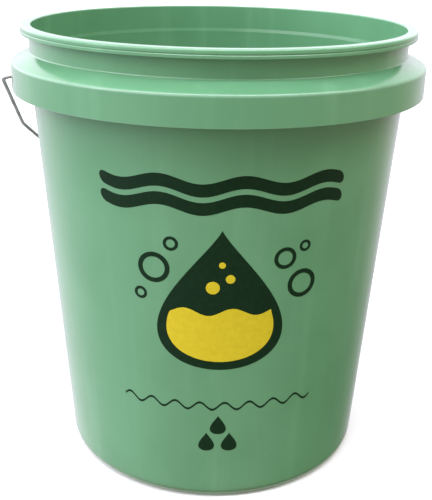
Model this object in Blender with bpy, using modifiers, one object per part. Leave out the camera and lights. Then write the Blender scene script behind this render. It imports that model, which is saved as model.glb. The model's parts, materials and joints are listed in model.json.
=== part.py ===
"""Wash bucket: a tapered plastic pail with a wire bail and a loose hand grip.

Frame: metres, +Z up. The origin is the centre of the base, on the floor. X runs along the
bail's pivot axis, the pail's printed side faces -Y, and the bail rests against the back, +Y.
"""

from math import asin, atan, atan2, ceil, cos, hypot, pi, radians, sin, tan

import bmesh
import bpy
from mathutils import Matrix

MM = 0.001

# Pail: body
PAIL_HEIGHT = 362.0 * MM
BODY_BASE_RADIUS = 128.0 * MM        # outer wall, carried on down to the floor
BODY_TOP_RADIUS = 149.6 * MM         # outer wall, level with the skirt's lower edge
WALL = 2.0 * MM
BASE_CORNER_RADIUS = 7.0 * MM
INNER_CORNER_RADIUS = 6.0 * MM
FOOT_WIDTH = 5.0 * MM                # flat ring that stands on the floor
FOOT_HEIGHT = 2.4 * MM
FLOOR_THICKNESS = 2.4 * MM
FLOOR_RING_RADII = (40.0 * MM, 80.0 * MM)
FLOOR_RING_WIDTH = 2.0 * MM
FLOOR_RING_HEIGHT = 1.2 * MM

# Pail: neck and rim
NECK_STEP = 0.4 * MM                 # neck's outer radius over the top of the body
LAND_STEP = 0.5 * MM                 # inner wall's step outwards at the height of the collar
LAND_DROP = 21.0 * MM                # from the rim's top down to that step
RIM_WIDTH = 6.4 * MM                 # how far the rim stands out from the neck
RIM_HEIGHT = 6.4 * MM
RIM_FLANGE = 2.8 * MM                # thickness of the rim's top
RIM_LIP = 2.2 * MM                   # thickness of the rim's outer lip
RIM_TOP_ROUNDING = 1.8 * MM
RIM_INNER_ROUNDING = 1.0 * MM
RIM_GROOVE_DROP = 3.7 * MM
RIM_GROOVE_DEPTH = 0.7 * MM
RIM_GROOVE_HALF_WIDTH = 0.6 * MM

# Pail: collar, the sloping shelf and the skirt that hangs from it
COLLAR_WIDTH = 14.9 * MM             # how far the collar stands out from the neck
COLLAR_DROP = 20.0 * MM              # from the rim's top down to the shelf at the neck
COLLAR_FALL = 7.4 * MM               # how much lower the shelf is at its outer edge
COLLAR_FILLET = 1.5 * MM
COLLAR_EDGE_RADIUS = 2.4 * MM
SKIRT_HEIGHT = 21.9 * MM
SKIRT_EDGE_RADIUS = 0.6 * MM

# Pail: gussets between the skirt and the body, and the ears
GUSSET_COUNT = 16
GUSSET_THICKNESS = 1.6 * MM
GUSSET_RISE = 5.0 * MM               # from the skirt's lower edge up to a gusset
EAR_DROP = 14.6 * MM                 # from the shelf's outer edge down to the bail's axis
EAR_BOSS_RADIUS = 6.0 * MM
EAR_BOSS_DEPTH = 2.0 * MM
EAR_HOLE_CLEARANCE = 0.6 * MM        # around the wire

# Bail
WIRE_RADIUS = 1.6 * MM
BAIL_SIDE_CLEARANCE = 6.5 * MM       # between the skirt and the wire, at the ears
BAIL_CORNER_RADIUS = 7.0 * MM
BAIL_SIDE_LENGTH = 97.0 * MM         # from the axis down to the first bend
BAIL_SIDE_DRAFT = 6.7 * MM           # how far the sides close in by then
BAIL_SHOULDER_LENGTH = 60.0 * MM     # from the first bend down to the second
BAIL_SHOULDER_DRAFT = 20.0 * MM
BAIL_BEND_RADIUS = 35.0 * MM         # at the first bend, and beside the grip
BAIL_HIP_RADIUS = 60.0 * MM          # at the second bend
BAIL_END_ROOM = 18.0 * MM            # from the grip's end out to the bend beside it
HOOK_LENGTH = 9.0 * MM               # turned-up end behind the skirt
HOOK_BEND_RADIUS = 3.2 * MM

# Grip
GRIP_RADIUS = 13.25 * MM
GRIP_LENGTH = 108.0 * MM
GRIP_WALL = 2.0 * MM
GRIP_HUB_WALL = 2.2 * MM
GRIP_WEB = 3.0 * MM                  # across the middle, between the two cored ends
GRIP_BORE_CLEARANCE = 0.4 * MM
GRIP_END_ROUNDING = 1.5 * MM
GRIP_GROOVES = 6
GRIP_GROOVE_WIDTH = 2.4 * MM
GRIP_GROOVE_DEPTH = 0.8 * MM
GRIP_SWING_CLEARANCE = 11.85 * MM    # between the skirt and the grip, as the bail swings over
GRIP_REST_GAP = 0.4 * MM             # between the grip and the wall that it rests against

# Fineness of round shapes
PAIL_STEPS = 64
GRIP_STEPS = 24
HOLE_STEPS = 24
ARC_STEP = radians(24.0)             # largest turn between two points of a rounded corner
MERGE = 0.01 * MM

# Places worked out from the sizes above
NECK_RADIUS = BODY_TOP_RADIUS + NECK_STEP
COLLAR_RADIUS = NECK_RADIUS + COLLAR_WIDTH
SKIRT_INNER_RADIUS = COLLAR_RADIUS - WALL
COLLAR_TOP_Z = PAIL_HEIGHT - COLLAR_DROP
COLLAR_EDGE_Z = COLLAR_TOP_Z - COLLAR_FALL
SKIRT_BOTTOM_Z = COLLAR_EDGE_Z - SKIRT_HEIGHT
SHELF_SLOPE = -COLLAR_FALL / COLLAR_WIDTH
SHELF_RISE = WALL * hypot(1.0, SHELF_SLOPE)  # the shelf's thickness, measured straight up
BODY_SLOPE = (BODY_TOP_RADIUS - BODY_BASE_RADIUS) / SKIRT_BOTTOM_Z
PIVOT_Z = COLLAR_EDGE_Z - EAR_DROP
EAR_HOLE_RADIUS = WIRE_RADIUS + EAR_HOLE_CLEARANCE
BAIL_REACH = COLLAR_RADIUS + GRIP_SWING_CLEARANCE + GRIP_RADIUS


def rest_angle():
    """Angle from straight down at which the grip meets the back wall."""
    lean = atan(BODY_SLOPE)
    stretch = hypot(1.0, BODY_SLOPE)
    wall_at_pivot = BODY_BASE_RADIUS + BODY_SLOPE * PIVOT_Z
    needed = wall_at_pivot + (GRIP_RADIUS + GRIP_REST_GAP) * stretch
    return asin(needed / (BAIL_REACH * stretch)) - lean


def rounded(corners):
    """Points along a line through (a, b, radius) corners, each rounded to its radius."""
    points = []
    for index, (a, b, radius) in enumerate(corners):
        if radius == 0.0:
            points.append((a, b))
            continue
        before = corners[index - 1]
        after = corners[index + 1]
        heading_in = atan2(b - before[1], a - before[0])
        heading_out = atan2(after[1] - b, after[0] - a)
        turn = (heading_out - heading_in + pi) % (2.0 * pi) - pi
        side = 1.0 if turn > 0.0 else -1.0
        reach = radius * tan(abs(turn) / 2.0)
        start = (a - reach * cos(heading_in), b - reach * sin(heading_in))
        centre = (start[0] - side * radius * sin(heading_in), start[1] + side * radius * cos(heading_in))
        steps = max(2, ceil(abs(turn) / ARC_STEP))
        for step in range(steps + 1):
            heading = heading_in + turn * step / steps
            points.append((centre[0] + side * radius * sin(heading),
                           centre[1] - side * radius * cos(heading)))
    return points


def material(name, colour, roughness, metallic=0.0):
    """A Principled material with one colour."""
    made = bpy.data.materials.new(name)
    made.use_nodes = True
    shader = made.node_tree.nodes["Principled BSDF"]
    shader.inputs["Base Color"].default_value = (*colour, 1.0)
    shader.inputs["Roughness"].default_value = roughness
    shader.inputs["Metallic"].default_value = metallic
    return made


def add_object(name, data, collection, finish=None):
    """An object for the data, in the collection, with its material."""
    made = bpy.data.objects.new(name, data)
    collection.objects.link(made)
    if finish is not None:
        data.materials.append(finish)
    return made


def profile_mesh(name, points, closed=False):
    """A line of points in the XZ plane, for a Screw modifier to turn about Z."""
    edges = [(index, index + 1) for index in range(len(points) - 1)]
    if closed:
        edges.append((len(points) - 1, 0))
    mesh = bpy.data.meshes.new(name)
    mesh.from_pydata([(radius, 0.0, z) for radius, z in points], edges, [])
    return mesh


def turn(piece, steps):
    """Turn the piece's profile into a solid about its own Z axis."""
    screw = piece.modifiers.new("turned", "SCREW")
    screw.axis = "Z"
    screw.steps = steps
    screw.render_steps = steps
    screw.use_merge_vertices = True
    screw.merge_threshold = MERGE
    screw.use_normal_calculate = False
    screw.use_smooth_shade = True


def boolean(piece, operation, tool):
    """Join the tool to the piece, or cut it away."""
    made = piece.modifiers.new(tool.name, "BOOLEAN")
    made.operation = operation
    made.solver = "EXACT"
    made.object = tool


def add_tool(name, shape, collection):
    """An object that shapes another one and isn't itself part of the bucket."""
    mesh = bpy.data.meshes.new(name)
    shape.to_mesh(mesh)
    shape.free()
    made = add_object(name, mesh, collection)
    made.hide_render = True
    made.display_type = "WIRE"
    return made


def body_radius(z):
    """Outer radius of the tapered body at a height."""
    return BODY_BASE_RADIUS + BODY_SLOPE * z


def shelf_z(radius):
    """Height of the shelf's upper face at a radius."""
    return COLLAR_TOP_Z + SHELF_SLOPE * (radius - NECK_RADIUS)


def pail_profile():
    """The pail's section, from the middle of its floor over the rim to its underside."""
    rim = NECK_RADIUS + RIM_WIDTH
    rim_bottom = PAIL_HEIGHT - RIM_HEIGHT
    flange_bottom = PAIL_HEIGHT - RIM_FLANGE
    groove = PAIL_HEIGHT - RIM_GROOVE_DROP
    land = PAIL_HEIGHT - LAND_DROP
    neck_inner = NECK_RADIUS - WALL
    floor = FOOT_HEIGHT + FLOOR_THICKNESS
    foot_outer = BODY_BASE_RADIUS - BASE_CORNER_RADIUS
    foot_inner = foot_outer - FOOT_WIDTH
    corners = [
        (0.0, floor, 0.0),
        (body_radius(floor) - WALL, floor, INNER_CORNER_RADIUS),
        (body_radius(SKIRT_BOTTOM_Z) - WALL, SKIRT_BOTTOM_Z, 0.0),
        (neck_inner - LAND_STEP, land, 0.0),
        (neck_inner, land + LAND_STEP, 0.0),
        (neck_inner, PAIL_HEIGHT, RIM_INNER_ROUNDING),
        (rim, PAIL_HEIGHT, RIM_TOP_ROUNDING),
        (rim, groove + RIM_GROOVE_HALF_WIDTH, 0.0),
        (rim - RIM_GROOVE_DEPTH, groove, 0.0),
        (rim, groove - RIM_GROOVE_HALF_WIDTH, 0.0),
        (rim, rim_bottom, 0.0),
        (rim - RIM_LIP, rim_bottom, 0.0),
        (rim - RIM_LIP, flange_bottom, 0.0),
        (NECK_RADIUS, flange_bottom, 0.0),
        (NECK_RADIUS, COLLAR_TOP_Z, COLLAR_FILLET),
        (COLLAR_RADIUS, COLLAR_EDGE_Z, COLLAR_EDGE_RADIUS),
        (COLLAR_RADIUS, SKIRT_BOTTOM_Z, SKIRT_EDGE_RADIUS),
        (SKIRT_INNER_RADIUS, SKIRT_BOTTOM_Z, SKIRT_EDGE_RADIUS),
        (SKIRT_INNER_RADIUS, shelf_z(SKIRT_INNER_RADIUS) - SHELF_RISE, 0.0),
        (NECK_RADIUS, shelf_z(NECK_RADIUS) - SHELF_RISE, 0.0),
        (BODY_TOP_RADIUS, SKIRT_BOTTOM_Z, 0.0),
        (BODY_BASE_RADIUS, 0.0, BASE_CORNER_RADIUS),
        (foot_inner, 0.0, 0.0),
        (foot_inner, FOOT_HEIGHT, 0.0),
    ]
    ring_bottom = FOOT_HEIGHT - FLOOR_RING_HEIGHT
    for radius in sorted(FLOOR_RING_RADII, reverse=True):
        outer = radius + FLOOR_RING_WIDTH / 2.0
        inner = radius - FLOOR_RING_WIDTH / 2.0
        corners += [(outer, FOOT_HEIGHT, 0.0), (outer, ring_bottom, 0.0)]
        corners += [(inner, ring_bottom, 0.0), (inner, FOOT_HEIGHT, 0.0)]
    corners.append((0.0, FOOT_HEIGHT, 0.0))
    return rounded(corners)


def add_gusset(shape, azimuth):
    """One upright web from the body to the skirt, under the shelf."""
    inner = NECK_RADIUS - WALL / 2.0
    outer = SKIRT_INNER_RADIUS + WALL / 2.0
    bottom = SKIRT_BOTTOM_Z + GUSSET_RISE
    under_shelf = SHELF_RISE / 2.0
    cube = bmesh.ops.create_cube(shape, size=1.0)
    for vertex in cube["verts"]:
        radius = outer if vertex.co.x > 0.0 else inner
        top = shelf_z(radius) - under_shelf
        vertex.co.x = radius
        vertex.co.y *= GUSSET_THICKNESS
        vertex.co.z = top if vertex.co.z > 0.0 else bottom
    bmesh.ops.rotate(shape, verts=cube["verts"], matrix=Matrix.Rotation(azimuth, 3, "Z"))


def add_rod(shape, side, radius, start, end):
    """A round rod along the bail's axis, from one distance off the middle to another."""
    place = Matrix.Translation((side * (start + end) / 2.0, 0.0, PIVOT_Z))
    bmesh.ops.create_cone(shape, cap_ends=True, segments=HOLE_STEPS, radius1=radius, radius2=radius,
                          depth=end - start, matrix=place @ Matrix.Rotation(pi / 2.0, 4, "Y"))


def make_pail(parts, tools):
    """The moulded pail: floor, body, collar with its gussets and ears, neck and rim."""
    green = material("green plastic", (0.15, 0.31, 0.18), 0.35)
    pail = add_object("pail", profile_mesh("pail", pail_profile()), parts, green)
    turn(pail, PAIL_STEPS)

    webs = bmesh.new()
    spacing = 2.0 * pi / GUSSET_COUNT
    for index in range(GUSSET_COUNT):
        add_gusset(webs, spacing * (index + 0.5))
    boolean(pail, "UNION", add_tool("gussets", webs, tools))

    bosses = bmesh.new()
    holes = bmesh.new()
    boss_inner = SKIRT_INNER_RADIUS - EAR_BOSS_DEPTH
    for side in (-1.0, 1.0):
        add_rod(bosses, side, EAR_BOSS_RADIUS, boss_inner, SKIRT_INNER_RADIUS + WALL / 2.0)
        add_rod(holes, side, EAR_HOLE_RADIUS, boss_inner - WALL, COLLAR_RADIUS + WALL)
    boolean(pail, "UNION", add_tool("ear_bosses", bosses, tools))
    boolean(pail, "DIFFERENCE", add_tool("ear_holes", holes, tools))
    return pail


def bail_half():
    """The wire's centre line, from the hook behind one ear to the start of the grip."""
    hook = (NECK_RADIUS + SKIRT_INNER_RADIUS) / 2.0
    side = COLLAR_RADIUS + BAIL_SIDE_CLEARANCE + WIRE_RADIUS
    shoulder = side - BAIL_SIDE_DRAFT
    hip = shoulder - BAIL_SHOULDER_DRAFT
    hip_drop = BAIL_SIDE_LENGTH + BAIL_SHOULDER_LENGTH
    bend = GRIP_LENGTH / 2.0 + BAIL_END_ROOM
    return rounded([
        (hook, HOOK_LENGTH, 0.0),
        (hook, 0.0, HOOK_BEND_RADIUS),
        (side, 0.0, BAIL_CORNER_RADIUS),
        (shoulder, -BAIL_SIDE_LENGTH, BAIL_BEND_RADIUS),
        (hip, -hip_drop, BAIL_HIP_RADIUS),
        (bend, -BAIL_REACH, BAIL_BEND_RADIUS),
        (0.0, -BAIL_REACH, 0.0),
    ])[:-1]


def make_bail(parts):
    """The steel wire, hooked into both ears and resting against the back of the pail."""
    steel = material("galvanised wire", (0.42, 0.43, 0.42), 0.4, 1.0)
    half = bail_half()
    path = half + [(-x, z) for x, z in reversed(half)]
    curve = bpy.data.curves.new("bail", "CURVE")
    curve.dimensions = "3D"
    curve.bevel_depth = WIRE_RADIUS
    curve.bevel_resolution = 4
    curve.use_fill_caps = True
    wire = curve.splines.new("POLY")
    wire.points.add(len(path) - 1)
    for point, (x, z) in zip(wire.points, path):
        point.co = (x, 0.0, z, 1.0)
    bail = add_object("bail", curve, parts, steel)
    bail.location = (0.0, 0.0, PIVOT_Z)
    bail.rotation_euler = (rest_angle(), 0.0, 0.0)
    return bail


def grip_profile():
    """The grip's section: a ringed sleeve on a thin hub, cored out from both ends."""
    half = GRIP_LENGTH / 2.0
    bore = WIRE_RADIUS + GRIP_BORE_CLEARANCE
    hub = bore + GRIP_HUB_WALL
    shell = GRIP_RADIUS - GRIP_WALL
    web = GRIP_WEB / 2.0
    pitch = GRIP_LENGTH / (GRIP_GROOVES + 1)
    low = GRIP_RADIUS - GRIP_GROOVE_DEPTH
    corners = [(shell, half, 0.0), (GRIP_RADIUS, half, GRIP_END_ROUNDING)]
    for index in range(GRIP_GROOVES):
        middle = half - pitch * (index + 1)
        upper = middle + GRIP_GROOVE_WIDTH / 2.0
        lower = middle - GRIP_GROOVE_WIDTH / 2.0
        corners += [(GRIP_RADIUS, upper, 0.0), (low, upper - GRIP_GROOVE_DEPTH / 2.0, 0.0)]
        corners += [(low, lower + GRIP_GROOVE_DEPTH / 2.0, 0.0), (GRIP_RADIUS, lower, 0.0)]
    corners += [(GRIP_RADIUS, -half, GRIP_END_ROUNDING), (shell, -half, 0.0)]
    corners += [(shell, -web, 0.0), (hub, -web, 0.0), (hub, -half, 0.0), (bore, -half, 0.0)]
    corners += [(bore, half, 0.0), (hub, half, 0.0), (hub, web, 0.0), (shell, web, 0.0)]
    return rounded(corners)


def make_grip(parts, bail):
    """The plastic grip, loose on the middle of the wire."""
    white = material("white plastic", (0.72, 0.72, 0.68), 0.45)
    grip = add_object("grip", profile_mesh("grip", grip_profile(), closed=True), parts, white)
    turn(grip, GRIP_STEPS)
    grip.parent = bail
    grip.location = (0.0, 0.0, -BAIL_REACH)
    grip.rotation_euler = (0.0, pi / 2.0, 0.0)
    return grip


for old in list(bpy.data.objects):
    bpy.data.objects.remove(old, do_unlink=True)
bucket = bpy.data.collections.new("wash_bucket")
shaping = bpy.data.collections.new("shaping")
bpy.context.scene.collection.children.link(bucket)
bpy.context.scene.collection.children.link(shaping)
make_pail(bucket, shaping)
make_grip(bucket, make_bail(bucket))
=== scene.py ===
"""Looks of the wash bucket: a green moulded pail, its printed front, its wire bail and its grip.

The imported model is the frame. Every piece here is made in metres, in the same frame, with +Z up,
X along the bail's pivot axis and the printed side facing -Y.
"""

import json
from math import atan2, cos, hypot, pi, radians, sin, tan

import bpy
from mathutils import Matrix, Vector


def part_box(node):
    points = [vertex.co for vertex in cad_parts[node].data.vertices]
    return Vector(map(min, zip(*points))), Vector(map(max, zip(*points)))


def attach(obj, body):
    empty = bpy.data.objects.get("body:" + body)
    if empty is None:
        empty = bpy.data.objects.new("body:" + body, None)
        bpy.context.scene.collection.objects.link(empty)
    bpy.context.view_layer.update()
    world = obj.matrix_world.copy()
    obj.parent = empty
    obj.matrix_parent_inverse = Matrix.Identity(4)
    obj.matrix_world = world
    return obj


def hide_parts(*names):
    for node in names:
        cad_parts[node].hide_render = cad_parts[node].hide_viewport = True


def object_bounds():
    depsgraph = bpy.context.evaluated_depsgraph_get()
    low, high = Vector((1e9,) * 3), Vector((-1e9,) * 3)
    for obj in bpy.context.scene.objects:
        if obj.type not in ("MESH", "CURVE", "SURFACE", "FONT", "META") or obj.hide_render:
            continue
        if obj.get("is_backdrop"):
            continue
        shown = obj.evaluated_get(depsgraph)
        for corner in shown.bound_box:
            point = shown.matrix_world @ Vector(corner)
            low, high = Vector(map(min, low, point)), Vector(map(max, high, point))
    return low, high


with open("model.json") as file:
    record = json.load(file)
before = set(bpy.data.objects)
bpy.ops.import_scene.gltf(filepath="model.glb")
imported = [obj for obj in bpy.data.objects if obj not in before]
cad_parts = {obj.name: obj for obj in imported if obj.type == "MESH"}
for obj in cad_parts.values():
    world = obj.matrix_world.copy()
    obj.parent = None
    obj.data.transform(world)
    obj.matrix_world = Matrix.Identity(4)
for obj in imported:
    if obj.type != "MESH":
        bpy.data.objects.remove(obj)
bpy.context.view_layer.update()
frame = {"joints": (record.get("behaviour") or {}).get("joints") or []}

MM = 0.001

# --- Camera ---------------------------------------------------------------------------------
# It looks down at the printed side from a little to the left of it, and is tilted very slightly.

CAMERA_PLACE = Vector((-96.2, -689.5, 434.7)) * MM
CAMERA_HEADING = radians(-8.0)
CAMERA_PITCH = radians(21.04)
CAMERA_ROLL = radians(1.05)
CAMERA_LENS = 60.8
CAMERA_SENSOR = 36.0

camera = bpy.data.objects.new("camera", bpy.data.cameras.new("camera"))
bpy.context.scene.collection.objects.link(camera)
camera.data.lens = CAMERA_LENS
camera.data.sensor_width = CAMERA_SENSOR
heading = Matrix.Rotation(CAMERA_HEADING, 4, "Z")
tilt = Matrix.Rotation(pi / 2.0 - CAMERA_PITCH, 4, "X")
roll = Matrix.Rotation(CAMERA_ROLL, 4, "Z")
camera.matrix_world = Matrix.Translation(CAMERA_PLACE) @ heading @ tilt @ roll
bpy.context.scene.camera = camera


# --- Floor and studio light -----------------------------------------------------------------
# A plain white floor and backdrop under a soft studio sky: a wide lamp overhead, a narrow strip
# of light above the front, and a big softbox at the left. The light that comes up off the floor
# is the sky's lower half, so the floor itself only takes shadows.

FLOOR_SIDE = 16.0
FLOOR_COLOUR = (0.86, 0.86, 0.86, 1.0)
FLOOR_ROUGHNESS = 0.9
TOP_LIGHT = 1.5
STRIP_LIGHT = 8.0
LEFT_LIGHT = 2.6
FRONT_LIGHT = 0.15
RIGHT_LIGHT = 0.3
BACK_LIGHT = 1.5
NEAR_GROUND_LIGHT = 0.42
FAR_GROUND_LIGHT = 1.05
LEFT_GROUND_LIGHT = 0.3
RIGHT_GROUND_LIGHT = 0.3
RIGHT_SHADE = 0.95
BACKDROP = 1.0
WARM = (1.06, 1.0, 0.76, 1.0)
COOL = (1.05, 1.0, 1.14, 1.0)
WHITE = (1.0, 1.0, 1.0, 1.0)

scene = bpy.context.scene
scene.view_settings.view_transform = "Standard"


class Flow:
    """A node's output. Arithmetic on it adds Math nodes, and add() adds any other node."""

    def __init__(self, tree, socket):
        self.tree = tree
        self.socket = socket

    def add(self, kind, values, output=0, **settings):
        """A new node with its settings and its sockets' values or links."""
        node = self.tree.nodes.new(kind)
        for name, value in settings.items():
            setattr(node, name, value)
        for socket, value in values.items():
            if isinstance(value, Flow):
                self.tree.links.new(value.socket, node.inputs[socket])
            else:
                node.inputs[socket].default_value = value
        return Flow(self.tree, node.outputs[output])

    def math(self, operation, *values):
        """A Math node on this value and others."""
        return self.add("ShaderNodeMath", dict(enumerate(values)), operation=operation)

    def __add__(self, other):
        return self.math("ADD", self, other)

    __radd__ = __add__

    def __mul__(self, other):
        return self.math("MULTIPLY", self, other)

    __rmul__ = __mul__

    def __sub__(self, other):
        return self.math("SUBTRACT", self, other)

    def __rsub__(self, other):
        return self.math("SUBTRACT", other, self)

    def __truediv__(self, other):
        return self.math("DIVIDE", self, other)

    def step(self, low, high):
        """0 at low, 1 at high, and smooth between."""
        return self.add("ShaderNodeMapRange", {0: self, 1: low, 2: high, 3: 0.0, 4: 1.0},
                        interpolation_type="SMOOTHSTEP")

    def axis(self, letter):
        """One coordinate of a place."""
        return self.add("ShaderNodeSeparateXYZ", {0: self}, output="XYZ".index(letter))

    def stretch(self, x, y, z):
        """A place with each coordinate multiplied by a number."""
        return self.add("ShaderNodeVectorMath", {0: self, 1: (x, y, z)}, operation="MULTIPLY")

    def length(self):
        """How far a place is from the frame's origin."""
        return self.add("ShaderNodeVectorMath", {0: self}, output="Value", operation="LENGTH")

    def noise(self, scale, detail=2.0):
        """Clouds with the given number of lumps a metre, around 0.5."""
        return self.add("ShaderNodeTexNoise", {"Vector": self, "Scale": scale, "Detail": detail})

    def blend(self, low, high):
        """From one colour to another as this value goes from 0 to 1."""
        return self.add("ShaderNodeMix", {0: self, 6: low, 7: high}, output=2, data_type="RGBA")

    def drive(self, shader, socket):
        """Link this value to a socket of a shader."""
        self.tree.links.new(self.socket, shader.inputs[socket])


scene.world = bpy.data.worlds.new("studio")
scene.world.use_nodes = True
studio = scene.world.node_tree
toward = Flow(studio, studio.nodes.new("ShaderNodeTexCoord").outputs["Generated"])
across = toward.axis("X")
away = toward.axis("Y")
up = toward.axis("Z")
forward_lean = (0.0 - away) / up

# Where each light is, from 0 outside it to 1 in its middle.
above = up.step(0.5, 0.95)
high = up.step(0.0, 0.12)
left = across.step(0.0, -1.0)
right = across.step(0.0, 1.0)
front = away.step(0.0, -1.0)
back = away.step(0.0, 1.0)
far_ground = away.step(0.0, 0.8)
right_ground = right * away.step(0.5, -0.3)
right_shade = right * up.step(-0.2, -0.6)
strip = forward_lean.step(0.20, 0.27) * forward_lean.step(0.52, 0.44) * up.step(0.3, 0.4)

around = LEFT_LIGHT * left + RIGHT_LIGHT * right + FRONT_LIGHT * front + BACK_LIGHT * back
ground = NEAR_GROUND_LIGHT + (FAR_GROUND_LIGHT - NEAR_GROUND_LIGHT) * far_ground
ground = ground + LEFT_GROUND_LIGHT * left + RIGHT_GROUND_LIGHT * right_ground
ground = ground * (1.0 - RIGHT_SHADE * right_shade)
level = TOP_LIGHT * above + STRIP_LIGHT * strip
level = level + (high - high * above) * around + (1.0 - high) * ground
shaded = (1.0 - left) * (1.0 - above) * (1.0 - back)
tint = shaded.blend(COOL, WARM)

# What is seen past the floor's edge is a plain backdrop, whatever light comes from there.
seen = Flow(studio, studio.nodes.new("ShaderNodeLightPath").outputs["Is Camera Ray"])
level = level + seen * (BACKDROP - level)
seen.blend(tint, WHITE).drive(studio.nodes["Background"], "Color")
level.drive(studio.nodes["Background"], "Strength")

bpy.ops.object.select_all(action="DESELECT")
bpy.ops.mesh.primitive_plane_add(size=FLOOR_SIDE, location=(0.0, 0.0, 0.0))
floor = bpy.context.object
floor.name = "floor"
floor.data.materials.append(bpy.data.materials.new("floor"))
floor.data.materials[0].use_nodes = True
floor_shader = floor.data.materials[0].node_tree.nodes["Principled BSDF"]
floor_shader.inputs["Base Color"].default_value = FLOOR_COLOUR
floor_shader.inputs["Roughness"].default_value = FLOOR_ROUGHNESS
floor_shader.inputs["Specular IOR Level"].default_value = 0.0
floor.visible_diffuse = False
floor.visible_glossy = False
floor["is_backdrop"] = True


# --- Pail -----------------------------------------------------------------------------------
# One injection moulding of green polyethylene: a ribbed floor on a foot ring, the tapered body,
# the collar with its skirt, gussets and ears, and a neck that ends in a flanged rim.

pail_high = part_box("pail")[1]
HEIGHT = pail_high.z
COLLAR_RADIUS = pail_high.x
NECK_RADIUS = COLLAR_RADIUS - 14.9 * MM
BODY_TOP_RADIUS = NECK_RADIUS - 0.4 * MM
BODY_BASE_RADIUS = 128.0 * MM
WALL = 2.0 * MM
PAIL_SIDES = 256
ROUNDING_STEPS = 4
NEAR = 0.02 * MM    # closer than this, a point counts as being at a place

RIM_RADIUS = NECK_RADIUS + 6.4 * MM
RIM_BOTTOM = HEIGHT - 6.4 * MM
RIM_FLANGE_BOTTOM = HEIGHT - 2.8 * MM
RIM_LIP = 2.2 * MM
RIM_GROOVE = HEIGHT - 3.7 * MM
RIM_GROOVE_HALF = 0.6 * MM
RIM_GROOVE_DEPTH = 0.5 * MM
COLLAR_TOP = HEIGHT - 20.0 * MM
COLLAR_EDGE = COLLAR_TOP - 7.4 * MM
SKIRT_BOTTOM = COLLAR_EDGE - 21.9 * MM
SKIRT_INNER_RADIUS = COLLAR_RADIUS - WALL
SHELF_SLOPE = (COLLAR_EDGE - COLLAR_TOP) / (COLLAR_RADIUS - NECK_RADIUS)
SHELF_RISE = WALL * hypot(1.0, SHELF_SLOPE)
LAND_BOTTOM = HEIGHT - 23.5 * MM
LAND_TOP = HEIGHT - 20.5 * MM
LAND_DEPTH = 0.5 * MM
FOOT_HEIGHT = 2.4 * MM
FLOOR_TOP = FOOT_HEIGHT + 2.4 * MM
FOOT_INNER_RADIUS = BODY_BASE_RADIUS - 12.0 * MM
FOOT_ROUNDING = 10.0 * MM
FLOOR_ROUNDING = 6.0 * MM
FLOOR_RIBS = (80.0 * MM, 40.0 * MM)
FLOOR_RIB_HALF = 1.0 * MM
FLOOR_RIB_DEPTH = 1.2 * MM
MIDDLE_RADIUS = 6.0 * MM
BODY_SLOPE = (BODY_TOP_RADIUS - BODY_BASE_RADIUS) / SKIRT_BOTTOM
PIVOT = next(Vector(j["pos_m"]) for j in frame["joints"] if j["name"] == "bail_swing")


def body_radius(height):
    """Outer radius of the tapered body."""
    return BODY_BASE_RADIUS + BODY_SLOPE * height


def under_shelf(radius):
    """Height of the shelf's lower face."""
    return COLLAR_TOP + SHELF_SLOPE * (radius - NECK_RADIUS) - SHELF_RISE


def turned(name, rings, sides):
    """A round solid: a circle extruded from ring to ring, each a radius, height and rounding."""
    bpy.ops.object.select_all(action="DESELECT")
    radius, height, _ = rings[0]
    bpy.ops.mesh.primitive_circle_add(vertices=sides, radius=radius, fill_type="NOTHING")
    piece = bpy.context.object
    piece.name = piece.data.name = name
    bpy.ops.object.mode_set(mode="EDIT")
    bpy.ops.mesh.select_all(action="SELECT")
    bpy.ops.transform.translate(value=(0.0, 0.0, height))
    for new_radius, new_height, _ in rings[1:]:
        rise = (0.0, 0.0, new_height - height)
        bpy.ops.mesh.extrude_edges_move(TRANSFORM_OT_translate={"value": rise})
        grow = new_radius / radius
        bpy.ops.transform.resize(value=(grow, grow, 1.0), center_override=(0.0, 0.0, new_height))
        radius, height = new_radius, new_height
    bpy.ops.object.mode_set(mode="OBJECT")
    return piece


def select_edges(piece, chosen):
    """Open a piece in edit mode with the edges between the chosen points selected."""
    mesh = piece.data
    mesh.polygons.foreach_set("select", [False] * len(mesh.polygons))
    mesh.vertices.foreach_set("select", chosen)
    mesh.edges.foreach_set("select", [chosen[e.vertices[0]] and chosen[e.vertices[1]] for e in mesh.edges])
    bpy.context.tool_settings.mesh_select_mode = (False, True, False)
    bpy.ops.object.mode_set(mode="EDIT")


def select_ring(piece, radius, height):
    """Open a piece in edit mode with the ring of edges at one radius and height selected."""
    points = [vertex.co for vertex in piece.data.vertices]
    select_edges(piece, [abs(hypot(point.x, point.y) - radius) < NEAR and abs(point.z - height) < NEAR
                         for point in points])


def close_ring(piece, ring):
    """Fill an end of a turned shell with a flat face."""
    select_ring(piece, ring[0], ring[1])
    bpy.ops.mesh.edge_face_add()
    bpy.ops.object.mode_set(mode="OBJECT")


def round_rings(piece, rings, segments):
    """Bevel each ring that has a rounding to that radius."""
    for before, ring, after in zip(rings, rings[1:], rings[2:]):
        radius, height, rounding = ring
        if rounding == 0.0:
            continue
        heading_in = atan2(height - before[1], radius - before[0])
        heading_out = atan2(after[1] - height, after[0] - radius)
        turn = abs((heading_out - heading_in + pi) % (2.0 * pi) - pi)
        select_ring(piece, radius, height)
        bpy.ops.mesh.bevel(offset_type="OFFSET", offset=rounding * tan(turn / 2.0), segments=segments,
                           profile=0.5, affect="EDGES", clamp_overlap=False)
        bpy.ops.object.mode_set(mode="OBJECT")


SHARP_ANGLE = radians(35.0)


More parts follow.
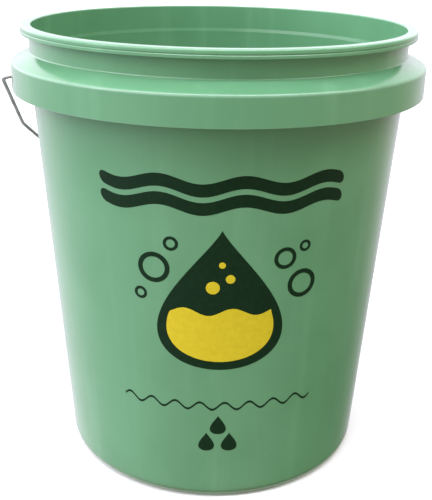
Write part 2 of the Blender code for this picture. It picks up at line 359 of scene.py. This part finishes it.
def finish_shading(piece):
    """Point faces outwards and shade smoothly, with flat faces kept flat beside small roundings."""
    bpy.ops.object.select_all(action="DESELECT")
    piece.select_set(True)
    bpy.context.view_layer.objects.active = piece
    bpy.ops.object.mode_set(mode="EDIT")
    bpy.ops.mesh.select_all(action="SELECT")
    bpy.ops.mesh.normals_make_consistent(inside=False)
    bpy.ops.object.mode_set(mode="OBJECT")
    bpy.ops.object.shade_smooth_by_angle(angle=SHARP_ANGLE)
    weighted = piece.modifiers.new("weighted", "WEIGHTED_NORMAL")
    weighted.mode = "FACE_AREA"
    weighted.keep_sharp = True
    bpy.ops.object.modifier_apply(modifier=weighted.name)


# Up the inside, over the rim, and down the outside to the underside's middle.
pail_rings = [
    (MIDDLE_RADIUS, FLOOR_TOP, 0.0),
    (body_radius(FLOOR_TOP) - WALL, FLOOR_TOP, FLOOR_ROUNDING),
    (body_radius(SKIRT_BOTTOM) - WALL, SKIRT_BOTTOM, 0.0),
    (NECK_RADIUS - WALL - LAND_DEPTH, LAND_BOTTOM, 1.0 * MM),
    (NECK_RADIUS - WALL, LAND_TOP, 1.0 * MM),
    (NECK_RADIUS - WALL, HEIGHT, 1.0 * MM),
    (RIM_RADIUS, HEIGHT, 1.8 * MM),
    (RIM_RADIUS, RIM_GROOVE + RIM_GROOVE_HALF, 0.3 * MM),
    (RIM_RADIUS - RIM_GROOVE_DEPTH, RIM_GROOVE, 0.4 * MM),
    (RIM_RADIUS, RIM_GROOVE - RIM_GROOVE_HALF, 0.3 * MM),
    (RIM_RADIUS, RIM_BOTTOM, 0.5 * MM),
    (RIM_RADIUS - RIM_LIP, RIM_BOTTOM, 0.4 * MM),
    (RIM_RADIUS - RIM_LIP, RIM_FLANGE_BOTTOM, 0.5 * MM),
    (NECK_RADIUS, RIM_FLANGE_BOTTOM, 0.5 * MM),
    (NECK_RADIUS, COLLAR_TOP, 1.5 * MM),
    (COLLAR_RADIUS, COLLAR_EDGE, 2.4 * MM),
    (COLLAR_RADIUS, SKIRT_BOTTOM, 0.6 * MM),
    (SKIRT_INNER_RADIUS, SKIRT_BOTTOM, 0.6 * MM),
    (SKIRT_INNER_RADIUS, under_shelf(SKIRT_INNER_RADIUS), 0.6 * MM),
    (NECK_RADIUS, under_shelf(NECK_RADIUS), 0.6 * MM),
    (BODY_TOP_RADIUS, SKIRT_BOTTOM, 0.0),
    (BODY_BASE_RADIUS, 0.0, FOOT_ROUNDING),
    (FOOT_INNER_RADIUS, 0.0, 0.4 * MM),
    (FOOT_INNER_RADIUS, FOOT_HEIGHT, 0.4 * MM),
]
FLOOR_RIB_BOTTOM = FOOT_HEIGHT - FLOOR_RIB_DEPTH
for middle in FLOOR_RIBS:
    pail_rings += [
        (middle + FLOOR_RIB_HALF, FOOT_HEIGHT, 0.3 * MM),
        (middle + FLOOR_RIB_HALF, FLOOR_RIB_BOTTOM, 0.3 * MM),
        (middle - FLOOR_RIB_HALF, FLOOR_RIB_BOTTOM, 0.3 * MM),
        (middle - FLOOR_RIB_HALF, FOOT_HEIGHT, 0.3 * MM),
    ]
pail_rings.append((MIDDLE_RADIUS, FOOT_HEIGHT, 0.0))
pail = turned("pail_moulding", pail_rings, PAIL_SIDES)
close_ring(pail, pail_rings[0])
close_ring(pail, pail_rings[-1])
round_rings(pail, pail_rings, ROUNDING_STEPS)


def combine(piece, tool, operation):
    """Join a closed tool to the piece, or cut it away, and remove the tool."""
    bpy.ops.object.select_all(action="DESELECT")
    bpy.context.view_layer.objects.active = piece
    change = piece.modifiers.new("change", "BOOLEAN")
    change.operation = operation
    change.solver = "EXACT"
    change.object = tool
    bpy.ops.object.modifier_apply(modifier=change.name)
    bpy.data.objects.remove(tool, do_unlink=True)


ROD_SIDES = 48
ROD_ROUNDING_STEPS = 3


def rods(radius, inner, outer, rounding):
    """A round rod along the bail's axis at each ear, with a rounding at its inner end."""
    bpy.ops.object.select_all(action="DESELECT")
    bpy.ops.mesh.primitive_cylinder_add(vertices=ROD_SIDES, radius=radius, depth=outer - inner,
                                        location=((inner + outer) / 2.0, 0.0, PIVOT.z),
                                        rotation=(0.0, -pi / 2.0, 0.0))
    made = bpy.context.object
    bpy.ops.object.transform_apply(location=True, rotation=True, scale=True)
    if rounding > 0.0:
        select_edges(made, [abs(vertex.co.x - inner) < NEAR for vertex in made.data.vertices])
        bpy.ops.mesh.bevel(offset=rounding, segments=ROD_ROUNDING_STEPS, affect="EDGES")
        bpy.ops.object.mode_set(mode="OBJECT")
    bpy.ops.object.mode_set(mode="EDIT")
    bpy.ops.mesh.select_all(action="SELECT")
    bpy.ops.mesh.spin(steps=1, dupli=True, angle=pi, center=(0.0, 0.0, 0.0), axis=(0.0, 0.0, 1.0))
    bpy.ops.object.mode_set(mode="OBJECT")
    return made


GUSSETS = 16
GUSSET_THICKNESS = 1.6 * MM
GUSSET_BOTTOM = SKIRT_BOTTOM + 5.0 * MM
gusset_inner = NECK_RADIUS - WALL / 2.0
gusset_outer = SKIRT_INNER_RADIUS + WALL / 2.0
bpy.ops.object.select_all(action="DESELECT")
bpy.ops.mesh.primitive_cube_add(size=1.0)
gusset = bpy.context.object
for corner in gusset.data.vertices:
    radius = gusset_outer if corner.co.x > 0.0 else gusset_inner
    top = under_shelf(radius) + SHELF_RISE / 2.0
    corner.co = (radius, corner.co.y * GUSSET_THICKNESS, top if corner.co.z > 0.0 else GUSSET_BOTTOM)
gusset.data.transform(Matrix.Rotation(pi / GUSSETS, 4, "Z"))
bpy.ops.object.mode_set(mode="EDIT")
bpy.ops.mesh.select_all(action="SELECT")
bpy.ops.mesh.spin(steps=GUSSETS - 1, dupli=True, angle=2.0 * pi * (GUSSETS - 1) / GUSSETS,
                  center=(0.0, 0.0, 0.0), axis=(0.0, 0.0, 1.0))
bpy.ops.object.mode_set(mode="OBJECT")
combine(pail, gusset, "UNION")

EAR_BOSS_RADIUS = 6.0 * MM
EAR_BOSS_INNER = SKIRT_INNER_RADIUS - 2.0 * MM
EAR_BOSS_ROUNDING = 0.5 * MM
EAR_HOLE_RADIUS = 2.2 * MM
boss_outer = SKIRT_INNER_RADIUS + WALL / 2.0
combine(pail, rods(EAR_BOSS_RADIUS, EAR_BOSS_INNER, boss_outer, EAR_BOSS_ROUNDING), "UNION")
combine(pail, rods(EAR_HOLE_RADIUS, EAR_BOSS_INNER - WALL, COLLAR_RADIUS + WALL, 0.0), "DIFFERENCE")
finish_shading(pail)


def new_material(name, roughness, metallic=0.0):
    """A Principled material with its shader, and the object's coordinates as a Flow."""
    made = bpy.data.materials.new(name)
    made.use_nodes = True
    tree = made.node_tree
    shader = tree.nodes["Principled BSDF"]
    shader.inputs["Roughness"].default_value = roughness
    shader.inputs["Metallic"].default_value = metallic
    place = Flow(tree, tree.nodes.new("ShaderNodeTexCoord").outputs["Object"])
    return made, shader, place


def bump(height, shader):
    """Raise and sink the surface by a height, in metres."""
    raised = height.add("ShaderNodeBump", {"Height": height, "Strength": 1.0, "Distance": 1.0})
    raised.drive(shader, "Normal")


POLYETHYLENE_IOR = 1.54
POLYETHYLENE_ROUGHNESS = 0.17
PAIL_GREEN = (0.122, 0.325, 0.168, 1.0)
CLOUDY_GREEN = (0.138, 0.353, 0.188, 1.0)
STREAK_SHEEN_GREEN = (0.180, 0.410, 0.238, 1.0)
SCRATCH_GREEN = (0.30, 0.50, 0.36, 1.0)
EDGE_HIGHLIGHT_GREEN = (0.38, 0.60, 0.47, 1.0)
FOOT_SHADE_GREEN = (0.10, 0.15, 0.09, 1.0)
FOOT_SHADE_TOP = 18.0 * MM
FOOT_SHADE_BOTTOM = 1.0 * MM


def pail_plastic():
    """Green polyethylene, moulded and used, with a painted sheen in its streaks, painted highlights along
    its edges and painted shade round its foot.
    """
    made, shader, place = new_material("pail plastic", POLYETHYLENE_ROUGHNESS)
    shader.inputs["IOR"].default_value = POLYETHYLENE_IOR
    height = place.axis("Z")
    out = place.stretch(1.0, 1.0, 0.0).length()
    upright = place.stretch(1.0, 1.0, 0.07)

    # Clouds in the colour from the plastic's flow in the mould, and pale streaks up the wall: flow marks
    # with a painted sheen of streaky reflections.
    clouds = place.noise(16.0, 4.0).step(0.3, 0.7)
    colour = clouds.blend(PAIL_GREEN, CLOUDY_GREEN)
    streaks_and_sheen = upright.noise(46.0, 4.0).step(0.5, 0.78) * 0.5
    colour = streaks_and_sheen.blend(colour, STREAK_SHEEN_GREEN)

    # Hair scratches, only where the wall was scuffed.
    hairs = (place.stretch(0.5, 0.5, 1.6).noise(130.0, 3.0) - 0.5).math("ABSOLUTE").step(0.006, 0.0)
    scuffed = place.noise(7.0, 2.0).step(0.5, 0.64)
    hairs = hairs * scuffed
    colour = (hairs * 0.35).blend(colour, SCRATCH_GREEN)

    # Painted highlight in pale uneven lines: the shelf's outer edge, the rim's crest and the skirt's lip.
    shelf_edge = height.step(COLLAR_EDGE - 2.4 * MM, COLLAR_EDGE - 0.8 * MM)
    shelf_edge = shelf_edge * height.step(COLLAR_EDGE + 0.8 * MM, COLLAR_EDGE)
    shelf_edge = shelf_edge * out.step(COLLAR_RADIUS - 2.2 * MM, COLLAR_RADIUS - 0.8 * MM)
    crest = height.step(HEIGHT - 1.2 * MM, HEIGHT - 0.2 * MM)
    crest = crest * out.step(RIM_RADIUS - 3.0 * MM, RIM_RADIUS - 1.2 * MM)
    skirt_lip = height.step(SKIRT_BOTTOM + 1.0 * MM, SKIRT_BOTTOM + 0.2 * MM)
    skirt_lip = skirt_lip * height.step(SKIRT_BOTTOM - 1.0 * MM, SKIRT_BOTTOM)
    skirt_lip = skirt_lip * out.step(SKIRT_INNER_RADIUS - WALL, SKIRT_INNER_RADIUS)
    tone_marks = (shelf_edge + crest + skirt_lip) * (0.15 + 0.2 * place.noise(110.0, 4.0))
    # The pale edge colour is a painted highlight.
    colour = tone_marks.blend(colour, EDGE_HIGHLIGHT_GREEN)

    # Painted shade round the foot: darker towards the bottom, in dirt-like patches.
    darkening = height.step(FOOT_SHADE_TOP, FOOT_SHADE_BOTTOM) * (0.12 + 0.30 * place.noise(60.0, 5.0).step(0.35, 0.7))
    colour = darkening.blend(colour, FOOT_SHADE_GREEN)
    colour.drive(shader, "Base Color")

    # Smears dull the gloss, and a fine moulded grain breaks it up.
    smears = place.noise(34.0, 5.0)
    roughness = POLYETHYLENE_ROUGHNESS - 0.07 + 0.14 * smears + 0.12 * hairs
    roughness.drive(shader, "Roughness")
    grain = place.noise(1500.0, 2.0) * 0.012 * MM
    grain = grain + upright.noise(40.0, 2.0) * 0.10 * MM - hairs * 0.01 * MM
    bump(grain, shader)
    return made


pail.data.materials.append(pail_plastic())
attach(pail, "pail")
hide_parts("pail")


# --- Print on the body ----------------------------------------------------------------------
# Two screen-printed inks on the front of the body: two waves at the top, a drop half full of
# yellow water among bubbles, a fine ripple under it, and three small drops at the foot.

DROP_MIDDLE = 180.0 * MM
PRINT_AZIMUTH = radians(-6.0)
PRINT_RADIUS = body_radius(DROP_MIDDLE)
INK_GAP = 0.02 * MM
INK_THICKNESS = 0.1 * MM
COLUMN = 2.5 * MM
FINE_COLUMN = 1.0 * MM
DISC_SIDES = 96
END_SIDES = 8
END_FULLNESS = 0.499    # a hair under half the stroke, so that the corners' roundings don't meet

WAVES = (269.0 * MM, 255.5 * MM)
WAVE_LENGTH = 178.0 * MM
WAVE_STROKE = 9.4 * MM
WAVE_RISE = 3.2 * MM
WAVE_SPACING = 58.0 * MM

DROP_HALF_WIDTH = 48.0 * MM
DROP_HALF_HEIGHT = 57.0 * MM
DROP_FULLNESS = 0.702
DROP_TAPER = 0.75
DROP_TIP = 0.06 * MM
WATER_SINK = 1.0 * MM
WATER_HALF_WIDTH = 40.5 * MM
WATER_HALF_HEIGHT = 49.0 * MM
WATER_LEVEL = 172.0 * MM
WATER_RISE = 3.0 * MM
WATER_SPACING = 36.0 * MM

RIPPLE_HEIGHT = 90.0 * MM
RIPPLE_LENGTH = 160.0 * MM
RIPPLE_STROKE = 1.9 * MM
RIPPLE_RISE = 3.2 * MM
RIPPLE_SPACING = 20.0 * MM
SMALL_DROP_HALF_WIDTH = 6.6 * MM
SMALL_DROP_HALF_HEIGHT = 8.6 * MM

# In millimetres: across, up and radius of each bubble and ring, and each small drop's middle.
RING_STROKE = 1.2
RING_STROKE_GROWTH = 0.2
BUBBLES = ((-6.0, 192.0, 5.0), (6.5, 199.0, 3.4), (0.5, 210.0, 2.4))
LEFT_RINGS = ((-49.0, 205.0, 12.0), (-36.0, 225.0, 5.5), (-60.0, 183.0, 5.0))
RIGHT_RINGS = ((46.0, 213.0, 8.5), (61.0, 191.0, 11.5), (61.0, 221.0, 4.5))
SMALL_DROPS = ((0.0, 72.5), (-9.5, 56.5), (9.5, 56.5))

DARK_INK = ((0.0040, 0.0235, 0.0085, 1.0), (0.0060, 0.0290, 0.0110, 1.0))
YELLOW_INK = ((0.66, 0.54, 0.018, 1.0), (0.72, 0.59, 0.022, 1.0))
INK_ROUGHNESS = 0.42
DARK_INK_SHINE = 0.15
YELLOW_INK_SHINE = 0.35


def flat_disc(name, radius, x, z):
    """A round patch of ink, still flat and facing -Y."""
    bpy.ops.object.select_all(action="DESELECT")
    bpy.ops.mesh.primitive_circle_add(vertices=DISC_SIDES, radius=radius, fill_type="NGON",
                                      location=(x, 0.0, z), rotation=(pi / 2.0, 0.0, 0.0))
    piece = bpy.context.object
    piece.name = piece.data.name = name
    bpy.ops.object.transform_apply(location=True, rotation=True, scale=True)
    return piece


def flat_ring(name, radius, width, x, z):
    """A round outline of ink."""
    piece = flat_disc(name, radius, x, z)
    bpy.ops.object.mode_set(mode="EDIT")
    bpy.ops.mesh.select_all(action="SELECT")
    bpy.ops.mesh.inset(thickness=width)
    bpy.ops.mesh.delete(type="FACE")
    bpy.ops.object.mode_set(mode="OBJECT")
    return piece


def flat_drop(name, half_width, half_height, x, z):
    """A drop of ink with its tip up: a disc of radius 1, drawn in towards its top."""
    piece = flat_disc(name, 1.0, x, z)
    for vertex in piece.data.vertices:
        side = vertex.co.x - x
        rise = vertex.co.z - z
        narrow = max(0.0, (1.0 - rise) / 2.0) ** DROP_TAPER
        vertex.co = (x + half_width / DROP_FULLNESS * side * narrow, 0.0, z + half_height * rise)
    bpy.ops.object.mode_set(mode="EDIT")
    bpy.ops.mesh.select_all(action="SELECT")
    bpy.ops.mesh.remove_doubles(threshold=DROP_TIP)
    bpy.ops.object.mode_set(mode="OBJECT")
    return piece


def flat_stripe(name, length, thickness, z):
    """A level stripe of ink with round ends."""
    bpy.ops.object.select_all(action="DESELECT")
    bpy.ops.mesh.primitive_plane_add(size=1.0, location=(0.0, 0.0, z), rotation=(pi / 2.0, 0.0, 0.0))
    piece = bpy.context.object
    piece.name = piece.data.name = name
    piece.scale = (length, thickness, 1.0)
    bpy.ops.object.transform_apply(location=True, rotation=True, scale=True)
    bpy.ops.object.mode_set(mode="EDIT")
    bpy.ops.mesh.select_all(action="SELECT")
    bpy.ops.mesh.bevel(affect="VERTICES", offset=thickness * END_FULLNESS, segments=END_SIDES, profile=0.5)
    bpy.ops.object.mode_set(mode="OBJECT")
    return piece


def slice_upright(piece, spacing):
    """Cut flat ink into upright columns, so that it can wave and bend round the body."""
    places = [vertex.co.x for vertex in piece.data.vertices]
    bpy.ops.object.mode_set(mode="EDIT")
    for index in range(int(min(places) / spacing) - 1, int(max(places) / spacing) + 2):
        bpy.ops.mesh.select_all(action="SELECT")
        bpy.ops.mesh.bisect(plane_co=(index * spacing, 0.0, 0.0), plane_no=(1.0, 0.0, 0.0))
    bpy.ops.object.mode_set(mode="OBJECT")


def wave(piece, height, length, lowest=0.0):
    """Shift the ink above a height into level waves."""
    for vertex in piece.data.vertices:
        if vertex.co.z > lowest:
            vertex.co.z += height * sin(2.0 * pi * vertex.co.x / length)


def lay_on_body(piece, above_body):
    """Bend flat ink round the tapered body and give it its thickness."""
    for vertex in piece.data.vertices:
        azimuth = PRINT_AZIMUTH + vertex.co.x / PRINT_RADIUS
        radius = body_radius(vertex.co.z) + above_body
        vertex.co = (radius * sin(azimuth), -radius * cos(azimuth), vertex.co.z)
    bpy.context.view_layer.objects.active = piece
    film = piece.modifiers.new("film", "SOLIDIFY")
    film.thickness = INK_THICKNESS
    film.offset = 1.0
    bpy.ops.object.modifier_apply(modifier=film.name)
    finish_shading(piece)


def ink(name, colours, shine):
    """Printed ink, slightly uneven in its cover and its sheen."""
    made, shader, place = new_material(name, INK_ROUGHNESS)
    shader.inputs["Specular IOR Level"].default_value = shine
    cover = place.noise(240.0, 4.0).step(0.3, 0.75)
    cover.blend(colours[0], colours[1]).drive(shader, "Base Color")
    roughness = INK_ROUGHNESS - 0.06 + 0.12 * place.noise(70.0, 4.0)
    roughness.drive(shader, "Roughness")
    bump(place.noise(1500.0, 2.0) * 0.012 * MM, shader)
    return made


inks = {
    "dark_ink": ink("dark ink", DARK_INK, DARK_INK_SHINE),
    "yellow_ink": ink("yellow ink", YELLOW_INK, YELLOW_INK_SHINE),
}


def print_ink(piece, colour, layer=0):
    """Print a piece in one of the two inks, on the plastic or on the layer under it."""
    slice_upright(piece, COLUMN)
    lay_on_body(piece, INK_GAP + layer * (INK_THICKNESS + INK_GAP))
    piece.data.materials.append(inks[colour])
    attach(piece, "pail")


for index, middle in enumerate(WAVES):
    stripe = flat_stripe(f"print_wave_{index + 1}", WAVE_LENGTH, WAVE_STROKE, middle)
    slice_upright(stripe, COLUMN)
    wave(stripe, WAVE_RISE, WAVE_SPACING)
    print_ink(stripe, "dark_ink")

drop = flat_drop("print_drop", DROP_HALF_WIDTH, DROP_HALF_HEIGHT, 0.0, DROP_MIDDLE)
print_ink(drop, "dark_ink")

water = flat_drop("print_water", WATER_HALF_WIDTH, WATER_HALF_HEIGHT, 0.0, DROP_MIDDLE - WATER_SINK)
bpy.ops.object.mode_set(mode="EDIT")
bpy.ops.mesh.select_all(action="SELECT")
bpy.ops.mesh.bisect(plane_co=(0.0, 0.0, WATER_LEVEL), plane_no=(0.0, 0.0, 1.0), clear_outer=True)
bpy.ops.object.mode_set(mode="OBJECT")
slice_upright(water, COLUMN)
wave(water, WATER_RISE, WATER_SPACING, WATER_LEVEL - NEAR)
print_ink(water, "yellow_ink", 1)

for index, (x, z, radius) in enumerate(BUBBLES):
    bubble = flat_disc(f"print_bubble_{index + 1}", radius * MM, x * MM, z * MM)
    print_ink(bubble, "yellow_ink", 1)

for index, (x, z, radius) in enumerate(LEFT_RINGS + RIGHT_RINGS):
    stroke = RING_STROKE + RING_STROKE_GROWTH * radius
    ring = flat_ring(f"print_ring_{index + 1}", radius * MM, stroke * MM, x * MM, z * MM)
    print_ink(ring, "dark_ink")

ripple = flat_stripe("print_ripple", RIPPLE_LENGTH, RIPPLE_STROKE, RIPPLE_HEIGHT)
slice_upright(ripple, FINE_COLUMN)
wave(ripple, RIPPLE_RISE, RIPPLE_SPACING)
print_ink(ripple, "dark_ink")

for index, (x, z) in enumerate(SMALL_DROPS):
    name = f"print_small_drop_{index + 1}"
    small_drop = flat_drop(name, SMALL_DROP_HALF_WIDTH, SMALL_DROP_HALF_HEIGHT, x * MM, z * MM)
    print_ink(small_drop, "dark_ink")


# --- Bail -----------------------------------------------------------------------------------
# One length of galvanised steel wire. It passes through both ears from outside, is hooked up
# behind the skirt, and is bent in towards the grip. At rest it lies back against the pail.

GRIP_PLACE = next(Vector(j["pos_m"]) for j in frame["joints"] if j["name"] == "grip_spin")
BAIL_REACH = hypot(GRIP_PLACE.y - PIVOT.y, PIVOT.z - GRIP_PLACE.z)
REST_ANGLE = atan2(GRIP_PLACE.y - PIVOT.y, PIVOT.z - GRIP_PLACE.z)
WIRE_RADIUS = 1.6 * MM
WIRE_SIDES = 24
FEWEST_BEND_STEPS = 4
GRIP_LENGTH = 108.0 * MM
HOOK_PLACE = (NECK_RADIUS + SKIRT_INNER_RADIUS) / 2.0
HOOK_LENGTH = 9.0 * MM
BAIL_SIDE = COLLAR_RADIUS + 6.5 * MM + WIRE_RADIUS
BEND_STEP = radians(2.5)
TIP_INSET = 0.35 * MM
TIP_RISE = 0.25 * MM

# Half of the wire, hanging straight down: each corner's place across and up, and its bend radius.
bail_corners = [
    (HOOK_PLACE, HOOK_LENGTH, 0.0),
    (HOOK_PLACE, 0.0, 3.2 * MM),
    (BAIL_SIDE, 0.0, 7.0 * MM),
    (BAIL_SIDE - 6.7 * MM, -97.0 * MM, 35.0 * MM),
    (BAIL_SIDE - 26.7 * MM, -157.0 * MM, 60.0 * MM),
    (GRIP_LENGTH / 2.0 + 18.0 * MM, -BAIL_REACH, 35.0 * MM),
    (0.0, -BAIL_REACH, 0.0),
]

hook_end = Vector((HOOK_PLACE, 0.0, HOOK_LENGTH))
bpy.ops.object.select_all(action="DESELECT")
bpy.ops.mesh.primitive_circle_add(vertices=WIRE_SIDES, radius=WIRE_RADIUS, fill_type="NOTHING",
                                  location=hook_end)
bail = bpy.context.object
bail.name = bail.data.name = "bail_wire"
bpy.ops.object.transform_apply(location=True, rotation=True, scale=True)
bpy.ops.object.mode_set(mode="EDIT")
bpy.ops.mesh.select_all(action="SELECT")
here = hook_end
for (across_bend, up_bend, bend_radius), after in zip(bail_corners[1:], bail_corners[2:]):
    bend = Vector((across_bend, 0.0, up_bend))
    way_in = (bend - here).normalized()
    way_out = (Vector((after[0], 0.0, after[1])) - bend).normalized()
    turn = atan2(way_in.cross(way_out).y, way_in.dot(way_out))
    setback = bend_radius * tan(abs(turn) / 2.0)
    start = bend - way_in * setback
    bpy.ops.mesh.extrude_edges_move(TRANSFORM_OT_translate={"value": start - here})
    inward = Matrix.Rotation(pi / 2.0 if turn > 0.0 else -pi / 2.0, 3, "Y") @ way_in
    # The spin operator counts its angle the other way from Matrix.Rotation.
    bpy.ops.mesh.spin(steps=max(FEWEST_BEND_STEPS, round(abs(turn) / BEND_STEP)), angle=-turn,
                      center=start + inward * bend_radius, axis=(0.0, 1.0, 0.0))
    here = bend + way_out * setback
grip_middle = Vector((0.0, 0.0, -BAIL_REACH))
bpy.ops.mesh.extrude_edges_move(TRANSFORM_OT_translate={"value": grip_middle - here})
bpy.ops.object.mode_set(mode="OBJECT")

select_edges(bail, [abs(vertex.co.z - HOOK_LENGTH) < NEAR for vertex in bail.data.vertices])
bpy.ops.mesh.edge_face_add()
bpy.ops.mesh.inset(thickness=TIP_INSET)
bpy.ops.transform.translate(value=(0.0, 0.0, TIP_RISE))
bpy.ops.object.mode_set(mode="OBJECT")
other_half = bail.modifiers.new("other half", "MIRROR")
other_half.use_mirror_merge = True
other_half.merge_threshold = NEAR / 2.0
bpy.ops.object.modifier_apply(modifier=other_half.name)
bail.rotation_euler.x = REST_ANGLE
bail.location = PIVOT
bpy.ops.object.transform_apply(location=True, rotation=True, scale=True)
finish_shading(bail)


DARK_ZINC = (0.30, 0.32, 0.31, 1.0)
LIGHT_ZINC = (0.42, 0.44, 0.43, 1.0)
RUBBED_STEEL = (0.16, 0.17, 0.16, 1.0)
ZINC_ROUGHNESS = 0.42


def wire_steel():
    """Galvanised wire: dull zinc in small crystals, with darker rubbed spots."""
    made, shader, place = new_material("galvanised wire", ZINC_ROUGHNESS, 1.0)
    crystals = place.add("ShaderNodeTexVoronoi", {"Vector": place, "Scale": 520.0}, output="Color")
    crystals = crystals.axis("X")
    colour = crystals.blend(DARK_ZINC, LIGHT_ZINC)
    tone_marks = place.noise(90.0, 4.0).step(0.52, 0.66) * 0.6
    tone_marks.blend(colour, RUBBED_STEEL).drive(shader, "Base Color")
    roughness = ZINC_ROUGHNESS - 0.08 + 0.12 * crystals + 0.10 * tone_marks
    roughness.drive(shader, "Roughness")
    bump(place.noise(1400.0, 3.0) * 0.02 * MM, shader)
    return made


bail.data.materials.append(wire_steel())
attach(bail, "bail")
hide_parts("bail")


# --- Grip -----------------------------------------------------------------------------------
# One injection moulding of white plastic, turned loosely on the straight middle of the wire:
# a ringed sleeve and a thin hub, cored out from both ends, with a web across the middle.

GRIP_RADIUS = 13.25 * MM
GRIP_HALF = GRIP_LENGTH / 2.0
GRIP_BORE = WIRE_RADIUS + 0.4 * MM
GRIP_HUB = GRIP_BORE + 2.2 * MM
GRIP_SHELL = GRIP_RADIUS - 2.0 * MM
GRIP_WEB_HALF = 1.5 * MM
GRIP_GROOVES = 6
GROOVE_WIDTH = 2.4 * MM
GROOVE_DEPTH = 0.8 * MM
GROOVE_FLOOR = GROOVE_WIDTH - GROOVE_DEPTH
GROOVE_ROUNDING = 0.4 * MM
GRIP_SIDES = 96
GRIP_ROUNDING_STEPS = 3
MERGE_GAP = 0.001 * MM

# One half from the bore's middle out to the crest at its end, then the grooves along the
# outside, then the same half back on the other side.
grip_end = [
    (GRIP_BORE, 0.0, 0.0),
    (GRIP_BORE, GRIP_HALF, 0.3 * MM),
    (GRIP_HUB, GRIP_HALF, 0.3 * MM),
    (GRIP_HUB, GRIP_WEB_HALF, 0.5 * MM),
    (GRIP_SHELL, GRIP_WEB_HALF, 0.5 * MM),
    (GRIP_SHELL, GRIP_HALF, 0.4 * MM),
    (GRIP_RADIUS, GRIP_HALF, 1.4 * MM),
]
grip_rings = list(grip_end)
for index in range(GRIP_GROOVES):
    middle = GRIP_HALF - GRIP_LENGTH * (index + 1) / (GRIP_GROOVES + 1)
    grip_rings += [
        (GRIP_RADIUS, middle + GROOVE_WIDTH / 2.0, GROOVE_ROUNDING),
        (GRIP_RADIUS - GROOVE_DEPTH, middle + GROOVE_FLOOR / 2.0, GROOVE_ROUNDING),
        (GRIP_RADIUS - GROOVE_DEPTH, middle - GROOVE_FLOOR / 2.0, GROOVE_ROUNDING),
        (GRIP_RADIUS, middle - GROOVE_WIDTH / 2.0, GROOVE_ROUNDING),
    ]
grip_rings += [(radius, -height, rounding) for radius, height, rounding in reversed(grip_end)]

grip = turned("grip_sleeve", grip_rings, GRIP_SIDES)
bpy.ops.object.mode_set(mode="EDIT")
bpy.ops.mesh.select_all(action="SELECT")
bpy.ops.mesh.remove_doubles(threshold=MERGE_GAP)
bpy.ops.object.mode_set(mode="OBJECT")
round_rings(grip, grip_rings, GRIP_ROUNDING_STEPS)
grip.rotation_euler.y = pi / 2.0
grip.location = GRIP_PLACE
bpy.ops.object.select_all(action="DESELECT")
grip.select_set(True)
bpy.context.view_layer.objects.active = grip
bpy.ops.object.transform_apply(location=True, rotation=True, scale=True)
finish_shading(grip)


GREYISH_WHITE = (0.68, 0.68, 0.63, 1.0)
CLEAN_WHITE = (0.76, 0.76, 0.72, 1.0)
HAND_DIRT = (0.30, 0.28, 0.23, 1.0)
GRIP_ROUGHNESS = 0.5


def grip_plastic():
    """White plastic with a fine matt texture, and hand dirt in its grooves."""
    made, shader, place = new_material("grip plastic", GRIP_ROUGHNESS)
    from_axis = place.add("ShaderNodeVectorMath", {0: place, 1: GRIP_PLACE}, operation="SUBTRACT")
    out = from_axis.stretch(0.0, 1.0, 1.0).length()
    clouds = place.noise(60.0, 4.0).step(0.3, 0.7)
    colour = clouds.blend(GREYISH_WHITE, CLEAN_WHITE)
    darkening = out.step(GRIP_RADIUS - 0.1 * MM, GRIP_RADIUS - GROOVE_DEPTH)
    darkening = darkening * place.noise(220.0, 4.0).step(0.2, 0.8) * 0.6
    darkening.blend(colour, HAND_DIRT).drive(shader, "Base Color")
    roughness = GRIP_ROUGHNESS - 0.08 + 0.16 * place.noise(160.0, 4.0)
    roughness.drive(shader, "Roughness")
    bump(place.noise(1700.0, 3.0) * 0.02 * MM, shader)
    return made


grip.data.materials.append(grip_plastic())
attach(grip, "grip")
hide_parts("grip")


low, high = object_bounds()
